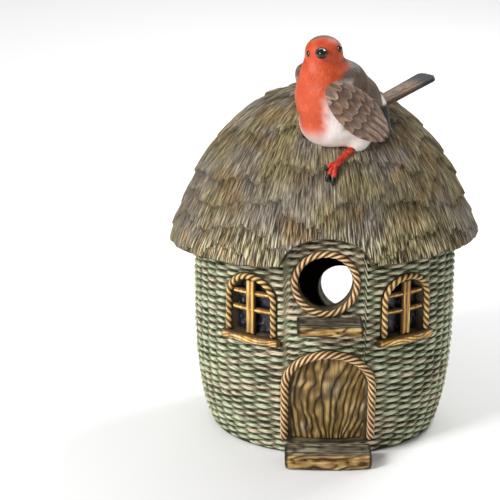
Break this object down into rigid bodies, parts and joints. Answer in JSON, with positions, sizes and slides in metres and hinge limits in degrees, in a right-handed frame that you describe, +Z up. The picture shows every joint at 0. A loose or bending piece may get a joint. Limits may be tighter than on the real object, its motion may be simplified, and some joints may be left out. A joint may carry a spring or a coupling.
{
  "type": "birdhouse",
  "caption": "Round garden birdhouse with a woven barrel wall, domed thatch roof that lifts off, round entrance with perch, door, arched windows, rear port and a robin on the roof.",
  "frame": {"origin": "centre of the base's flat rest face, on the axis of the round wall", "axes": "+Z up along the wall's axis, front with the entrance and door towards -Y, +X to the right as seen from the front"},
  "size_m": [0.191, 0.1977, 0.2571],
  "materials": {
    "wicker_resin": "cast resin, woven relief, sage and cream dry-brushed over dark olive, matt",
    "thatch_resin": "cast resin, carved thatch strands, brown-grey with olive and cream, matt",
    "rope_resin": "cast resin, twisted rope relief, tan-orange with dark wash, satin",
    "timber_resin": "cast resin, deep carved wood grain, ochre-brown with dark wash, satin",
    "frame_resin": "cast resin, carved grain, golden ochre, satin",
    "dark_pane": "painted near-black, slightly glossy",
    "plain_resin": "plain cast resin, painted, matt",
    "robin_breast": "painted resin feathers, orange-red fading to white, satin",
    "robin_plumage": "painted resin feathers, brown with dark tips, satin",
    "robin_leg": "painted, red-orange with black claws, satin",
    "gloss_black": "glossy black",
    "steel": "plain steel, dulled"
  },
  "bodies": {
    "house": {"wicker_wall": "wicker_resin", "floor_plate": "plain_resin", "entrance_rope_ring": "rope_resin", "door_leaf": "timber_resin", "door_rope_arch": "rope_resin", "door_step": "timber_resin", "perch_ledge": "timber_resin", "left_window_pane": "dark_pane", "left_window_lower_bar": "frame_resin", "left_window_upper_bar": "frame_resin", "left_window_mullion": "frame_resin", "left_window_rope_arch": "rope_resin", "left_window_sill": "frame_resin", "right_window_pane": "dark_pane", "right_window_lower_bar": "frame_resin", "right_window_upper_bar": "frame_resin", "right_window_mullion": "frame_resin", "right_window_rope_arch": "rope_resin", "right_window_sill": "frame_resin", "rear_port_collar": "plain_resin", "cover_screw": "steel"},
    "roof": {"thatch_roof": "thatch_resin", "robin_body": "robin_breast", "robin_left_eye": "gloss_black", "robin_right_eye": "gloss_black", "robin_beak": "gloss_black", "robin_left_wing": "robin_plumage", "robin_right_wing": "robin_plumage", "robin_tail": "robin_plumage", "robin_left_leg": "robin_leg", "robin_right_leg": "robin_leg", "robin_fixing_pin": "steel"},
    "cover": {"rear_cover": "plain_resin"}
  },
  "joints": [
    {"name": "roof_lift", "type": "slide", "parent": "house", "child": "roof", "axis": [0, 0, 1], "range_m": [0, 0.09]},
    {"name": "cover_swivel", "type": "hinge", "parent": "house", "child": "cover", "pos_m": [-0.00793, 0.08777, 0.0626], "axis": [-0.2079, -0.9781, 0], "range_deg": [0, 90]}
  ]
}
